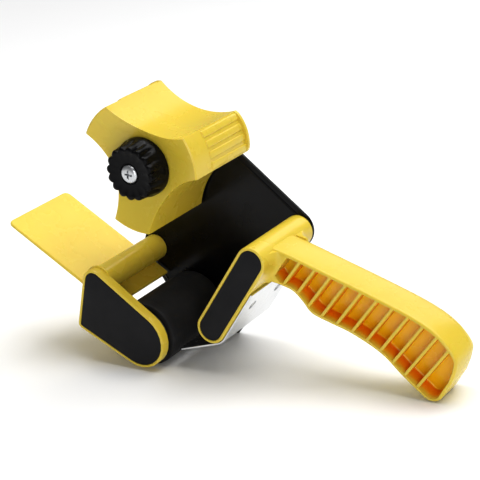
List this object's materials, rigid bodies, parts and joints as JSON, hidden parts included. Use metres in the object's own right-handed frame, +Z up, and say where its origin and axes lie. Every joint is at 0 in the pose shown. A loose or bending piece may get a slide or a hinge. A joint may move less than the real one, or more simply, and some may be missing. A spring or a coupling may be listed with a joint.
{
  "type": "tape dispenser",
  "caption": "Hand-held packing tape dispenser with a lobed tape hub, tension knob, rubber roller, toothed cutter, tape flap and ribbed pistol grip.",
  "frame": {"origin": "middle of the object's box, on the ground it rests on", "axes": "+X from the tape flap towards the handle, +Y from the knob side towards the side plate, +Z up"},
  "size_m": [0.2722, 0.0728, 0.1511],
  "materials": {
    "yellow_plastic": "semi-gloss moulded",
    "black_paint": "gloss black enamel",
    "charcoal_panel": "satin, finely grained",
    "black_plastic": "semi-gloss moulded",
    "roller_rubber": "ground matte rubber",
    "grey_plastic": "satin moulded",
    "bright_steel": "bright zinc plated",
    "blade_steel": "bright rolled spring steel",
    "brass": "turned",
    "fibre": "pressed fibre, matte"
  },
  "bodies": {
    "frame": {"side_plate": "black_paint", "front_guard": "yellow_plastic", "guard_panel": "charcoal_panel", "guard_screw": "bright_steel", "handle": "yellow_plastic", "handle_panel": "charcoal_panel", "handle_screw_1": "bright_steel", "handle_screw_2": "bright_steel", "blade": "blade_steel", "blade_screw_1": "bright_steel", "blade_screw_2": "bright_steel", "roller_axle": "bright_steel", "axle_washer": "bright_steel", "axle_clip": "bright_steel", "hub_sleeve": "bright_steel", "friction_washer": "fibre", "pressure_washer": "bright_steel", "tension_spring": "bright_steel", "nut_washer": "bright_steel", "plate_nut": "bright_steel"},
    "roller": {"roller_core": "grey_plastic", "roller_sleeve": "roller_rubber"},
    "hub": {"tape_hub": "yellow_plastic"},
    "seat": {"spring_seat": "bright_steel"},
    "knob": {"tension_knob": "black_plastic", "knob_insert": "brass", "tension_screw": "bright_steel"}
  },
  "joints": [
    {"name": "roller_spin", "type": "hinge", "parent": "frame", "child": "roller", "pos_m": [-0.04849, 0, 0.01869], "axis": [0, 1, 0], "continuous": true},
    {"name": "hub_spin", "type": "hinge", "parent": "frame", "child": "hub", "pos_m": [-0.03696, 0, 0.11713], "axis": [0, 1, 0], "continuous": true},
    {"name": "knob_travel", "type": "slide", "parent": "frame", "child": "seat", "axis": [0, -1, 0], "range_m": [0, 0.003], "deforming": ["tension_spring"]},
    {"name": "knob_turn", "type": "hinge", "parent": "seat", "child": "knob", "pos_m": [-0.03696, 0, 0.11713], "axis": [0, -1, 0], "range_deg": [0, 1080]}
  ],
  "couplings": [
    {"joint": "knob_turn", "follows": "knob_travel", "rad_per_m": 6283.2}
  ]
}
